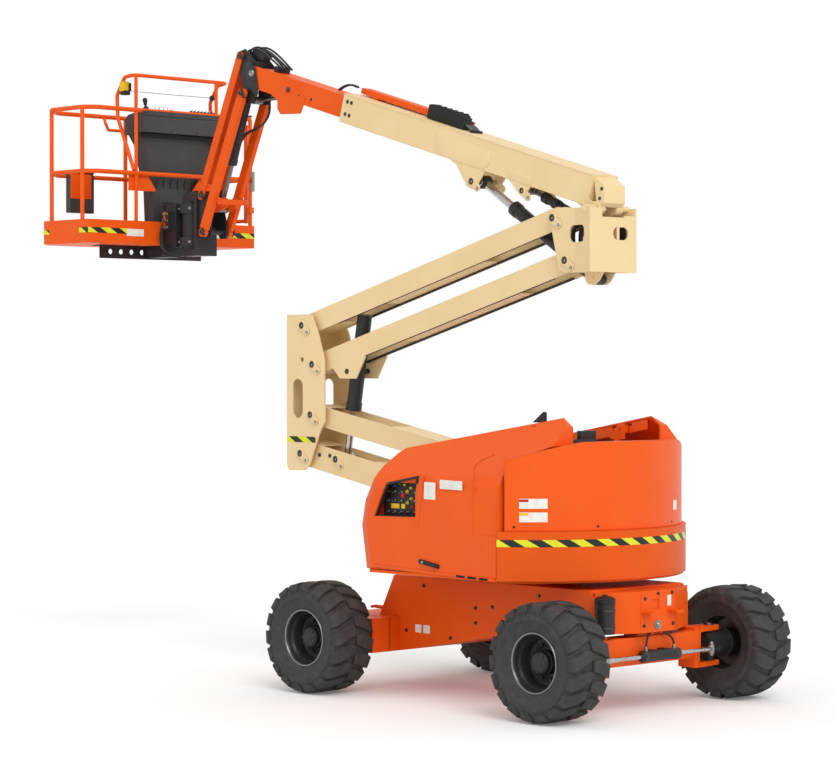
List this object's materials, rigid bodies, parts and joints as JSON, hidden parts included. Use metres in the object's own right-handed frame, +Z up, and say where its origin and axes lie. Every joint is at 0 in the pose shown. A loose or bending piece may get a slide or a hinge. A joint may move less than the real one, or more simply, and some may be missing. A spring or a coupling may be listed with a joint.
{
  "type": "articulating boom lift",
  "caption": "Self-propelled articulating boom lift: four-wheel chassis, slewing turntable, folding tower, telescopic boom, jib and rotating work platform.",
  "frame": {"origin": "on the ground midway between the axles, under the swing axis", "axes": "+X towards the counterweight and the steered wheels, +Y to the left, +Z up; the boom and platform point towards -X"},
  "size_m": [6.4454, 2.3626, 5.0322],
  "materials": {
    "orange_paint": "glossy",
    "cream_paint": "glossy",
    "black_paint": "satin",
    "chrome_rod": "polished",
    "dark_plastic": "matt",
    "tyre_rubber": "matt",
    "wheel_paint": "satin"
  },
  "bodies": {
    "chassis": {"chassis_frame": "orange_paint", "rear_axle": "orange_paint", "front_axle": "orange_paint", "steer_cylinder": "black_paint", "canister": "black_paint"},
    "turntable": {"turntable_frame": "orange_paint", "counterweight": "orange_paint", "rear_cover": "orange_paint", "engine": "black_paint", "ground_controls": "dark_plastic"},
    "platform": {"platform_mount": "black_paint", "platform_floor": "orange_paint", "platform_rails": "orange_paint", "console": "dark_plastic", "document_box": "dark_plastic"},
    "jib_end": {"jib_end": "black_paint", "rotator": "black_paint"},
    "main_boom": {"main_boom": "cream_paint", "hose_tray": "orange_paint"},
    "fly_boom": {"fly_boom": "orange_paint", "hose_guide": "dark_plastic"},
    "hood_right": {"hood_right": "orange_paint"},
    "hood_left": {"hood_left": "orange_paint"},
    "lower_arm_bottom": {"lower_arm_bottom": "cream_paint"},
    "lower_arm_top": {"lower_arm_top": "cream_paint"},
    "upright": {"upright": "cream_paint"},
    "mid_arm_bottom": {"mid_arm_bottom": "cream_paint"},
    "mid_arm_top": {"mid_arm_top": "cream_paint"},
    "knuckle": {"knuckle": "cream_paint"},
    "tower_barrel": {"tower_barrel": "black_paint"},
    "tower_rod": {"tower_rod": "chrome_rod"},
    "lift_barrel": {"lift_barrel": "black_paint"},
    "lift_rod": {"lift_rod": "chrome_rod"},
    "level_barrel": {"level_barrel": "black_paint"},
    "level_rod": {"level_rod": "chrome_rod"},
    "jib_head": {"jib_head": "black_paint"},
    "slave_barrel": {"slave_barrel": "black_paint"},
    "slave_rod": {"slave_rod": "chrome_rod"},
    "jib_link_bottom": {"jib_link_bottom": "orange_paint"},
    "jib_link_top": {"jib_link_top": "orange_paint"},
    "jib_barrel": {"jib_barrel": "black_paint"},
    "jib_rod": {"jib_rod": "chrome_rod"},
    "gate": {"gate": "orange_paint"},
    "knuckle_left": {"knuckle_left": "black_paint"},
    "knuckle_right": {"knuckle_right": "black_paint"},
    "steer_rod": {"steer_rod": "chrome_rod"},
    "wheel_front_right": {"tyre_front_right": "tyre_rubber", "rim_front_right": "wheel_paint"},
    "wheel_front_left": {"tyre_front_left": "tyre_rubber", "rim_front_left": "wheel_paint"},
    "wheel_rear_right": {"tyre_rear_right": "tyre_rubber", "rim_rear_right": "wheel_paint"},
    "wheel_rear_left": {"tyre_rear_left": "tyre_rubber", "rim_rear_left": "wheel_paint"}
  },
  "joints": [
    {"name": "swing", "type": "hinge", "parent": "chassis", "child": "turntable", "pos_m": [0, 0, 0.92], "axis": [0, 0, 1], "range_deg": [-177.5, 177.5]},
    {"name": "hood_right_open", "type": "hinge", "parent": "turntable", "child": "hood_right", "pos_m": [-0.44, -0.474, 1.811], "axis": [-0.9853, 0, -0.1707], "range_deg": [0, 60]},
    {"name": "hood_left_open", "type": "hinge", "parent": "turntable", "child": "hood_left", "pos_m": [-0.44, 0.474, 1.811], "axis": [0.9853, 0, 0.1707], "range_deg": [0, 60]},
    {"name": "tower_lift", "type": "hinge", "parent": "turntable", "child": "lower_arm_bottom", "pos_m": [0.199, 0, 1.264], "axis": [0, 1, 0], "range_deg": [-11, 50]},
    {"name": "lower_arm_top_turn", "type": "hinge", "parent": "turntable", "child": "lower_arm_top", "pos_m": [0.32, 0, 1.572], "axis": [0, 1, 0], "range_deg": [-11.05, 50.05]},
    {"name": "upright_turn", "type": "hinge", "parent": "lower_arm_bottom", "child": "upright", "pos_m": [-2.288, 0, 1.729], "axis": [0, -1, 0], "range_deg": [-11.05, 50.05]},
    {"name": "mid_arm_bottom_turn", "type": "hinge", "parent": "upright", "child": "mid_arm_bottom", "pos_m": [-2.145, 0, 2.436], "axis": [0, -1, 0], "range_deg": [-11.05, 50.05]},
    {"name": "mid_arm_top_turn", "type": "hinge", "parent": "upright", "child": "mid_arm_top", "pos_m": [-2.268, 0, 2.745], "axis": [0, -1, 0], "range_deg": [-11.05, 50.05]},
    {"name": "knuckle_turn", "type": "hinge", "parent": "mid_arm_bottom", "child": "knuckle", "pos_m": [0.568, 0, 3.188], "axis": [0, 1, 0], "range_deg": [-11.05, 50.05]},
    {"name": "tower_barrel_turn", "type": "hinge", "parent": "mid_arm_bottom", "child": "tower_barrel", "pos_m": [-1.802, 0, 2.382], "axis": [0, 1, 0], "range_deg": [-10.76, 48.86]},
    {"name": "tower_rod_slide", "type": "slide", "parent": "tower_barrel", "child": "tower_rod", "axis": [-0.1764, 0, -0.9843], "range_m": [-0.1373, 0.5887]},
    {"name": "boom_lift", "type": "hinge", "parent": "knuckle", "child": "main_boom", "pos_m": [0.805, 0, 3.555], "axis": [0, 1, 0], "range_deg": [-10, 57]},
    {"name": "lift_barrel_turn", "type": "hinge", "parent": "knuckle", "child": "lift_barrel", "pos_m": [0.728, 0, 3.052], "axis": [0, 1, 0], "range_deg": [-7.84, 44.65]},
    {"name": "lift_rod_slide", "type": "slide", "parent": "lift_barrel", "child": "lift_rod", "axis": [-0.8361, 0, 0.5486], "range_m": [-0.0752, 0.3815]},
    {"name": "level_barrel_turn", "type": "hinge", "parent": "knuckle", "child": "level_barrel", "pos_m": [0.785, 0, 3.388], "axis": [0, 1, 0], "range_deg": [-8.78, 50]},
    {"name": "level_rod_slide", "type": "slide", "parent": "level_barrel", "child": "level_rod", "axis": [-0.904, 0, 0.4275], "range_m": [-0.0328, 0.1397]},
    {"name": "telescope", "type": "slide", "parent": "main_boom", "child": "fly_boom", "axis": [-0.9597, 0, 0.2812], "range_m": [-0.25, 1.3]},
    {"name": "jib_head_turn", "type": "hinge", "parent": "fly_boom", "child": "jib_head", "pos_m": [-2.945, 0, 4.8], "axis": [0, -1, 0], "range_deg": [-10.05, 57.05]},
    {"name": "slave_barrel_turn", "type": "hinge", "parent": "fly_boom", "child": "slave_barrel", "pos_m": [-2.24, 0, 4.592], "axis": [0, 1, 0], "range_deg": [-0.2, 1.09]},
    {"name": "slave_rod_slide", "type": "slide", "parent": "slave_barrel", "child": "slave_rod", "axis": [-1, 0, 0], "range_m": [-0.2212, 0.047]},
    {"name": "jib_lift", "type": "hinge", "parent": "jib_head", "child": "jib_link_bottom", "pos_m": [-3.04, 0, 4.645], "axis": [0, 1, 0], "range_deg": [-4, 125]},
    {"name": "jib_link_top_turn", "type": "hinge", "parent": "jib_head", "child": "jib_link_top", "pos_m": [-3.115, 0, 4.955], "axis": [0, 1, 0], "range_deg": [-4.05, 125.05]},
    {"name": "jib_end_turn", "type": "hinge", "parent": "jib_link_bottom", "child": "jib_end", "pos_m": [-3.54, 0, 3.53], "axis": [0, -1, 0], "range_deg": [-4.05, 125.05]},
    {"name": "jib_barrel_turn", "type": "hinge", "parent": "jib_head", "child": "jib_barrel", "pos_m": [-3.062, 0, 4.8], "axis": [0, 1, 0], "range_deg": [-3.87, 120.75]},
    {"name": "jib_rod_slide", "type": "slide", "parent": "jib_barrel", "child": "jib_rod", "axis": [-0.3568, 0, -0.9342], "range_m": [-0.2934, 0.0191]},
    {"name": "platform_rotate", "type": "hinge", "parent": "jib_end", "child": "platform", "pos_m": [-3.85, 0, 3.6], "axis": [0, 0, 1], "range_deg": [-90, 90]},
    {"name": "gate_open", "type": "hinge", "parent": "platform", "child": "gate", "pos_m": [-4.1253, 0.8747, 4], "axis": [0, 0, 1], "range_deg": [0, 45]},
    {"name": "steer_left", "type": "hinge", "parent": "chassis", "child": "knuckle_left", "pos_m": [1.17, 0.7055, 0.41], "axis": [0, 0, 1], "range_deg": [-30, 30]},
    {"name": "steer_right", "type": "hinge", "parent": "chassis", "child": "knuckle_right", "pos_m": [1.17, -0.7055, 0.41], "axis": [0, 0, 1], "range_deg": [-30.05, 30.05]},
    {"name": "steer_rod_slide", "type": "slide", "parent": "chassis", "child": "steer_rod", "axis": [0, 1, 0], "range_m": [-0.078, 0.078]},
    {"name": "wheel_front_right", "type": "hinge", "parent": "knuckle_right", "child": "wheel_front_right", "pos_m": [1.17, -0.9835, 0.415], "axis": [0, 1, 0], "continuous": true},
    {"name": "wheel_front_left", "type": "hinge", "parent": "knuckle_left", "child": "wheel_front_left", "pos_m": [1.17, 0.9835, 0.415], "axis": [0, 1, 0], "continuous": true},
    {"name": "wheel_rear_right", "type": "hinge", "parent": "chassis", "child": "wheel_rear_right", "pos_m": [-1.17, -0.9835, 0.415], "axis": [0, 1, 0], "continuous": true},
    {"name": "wheel_rear_left", "type": "hinge", "parent": "chassis", "child": "wheel_rear_left", "pos_m": [-1.17, 0.9835, 0.415], "axis": [0, 1, 0], "continuous": true}
  ],
  "couplings": [
    {"joint": "lower_arm_top_turn", "follows": "tower_lift", "ratio": 1},
    {"joint": "upright_turn", "follows": "tower_lift", "ratio": 1},
    {"joint": "mid_arm_bottom_turn", "follows": "tower_lift", "ratio": 1},
    {"joint": "mid_arm_top_turn", "follows": "tower_lift", "ratio": 1},
    {"joint": "knuckle_turn", "follows": "tower_lift", "ratio": 1},
    {"joint": "tower_barrel_turn", "follows": "tower_lift", "ratio": 0.977},
    {"joint": "tower_rod_slide", "follows": "tower_lift", "m_per_rad": 0.66309},
    {"joint": "lift_barrel_turn", "follows": "boom_lift", "ratio": 0.78322},
    {"joint": "lift_rod_slide", "follows": "boom_lift", "m_per_rad": 0.37343},
    {"joint": "level_barrel_turn", "follows": "boom_lift", "ratio": 0.87695},
    {"joint": "level_rod_slide", "follows": "boom_lift", "m_per_rad": 0.13038},
    {"joint": "jib_head_turn", "follows": "boom_lift", "ratio": 1},
    {"joint": "slave_barrel_turn", "follows": "boom_lift", "ratio": 0.019035},
    {"joint": "slave_rod_slide", "follows": "boom_lift", "m_per_rad": -0.21226},
    {"joint": "jib_link_top_turn", "follows": "jib_lift", "ratio": 1},
    {"joint": "jib_end_turn", "follows": "jib_lift", "ratio": 1},
    {"joint": "jib_barrel_turn", "follows": "jib_lift", "ratio": 0.96595},
    {"joint": "jib_rod_slide", "follows": "jib_lift", "m_per_rad": -0.12989},
    {"joint": "steer_right", "follows": "steer_left", "ratio": 1},
    {"joint": "steer_rod_slide", "follows": "steer_left", "m_per_rad": 0.146}
  ]
}
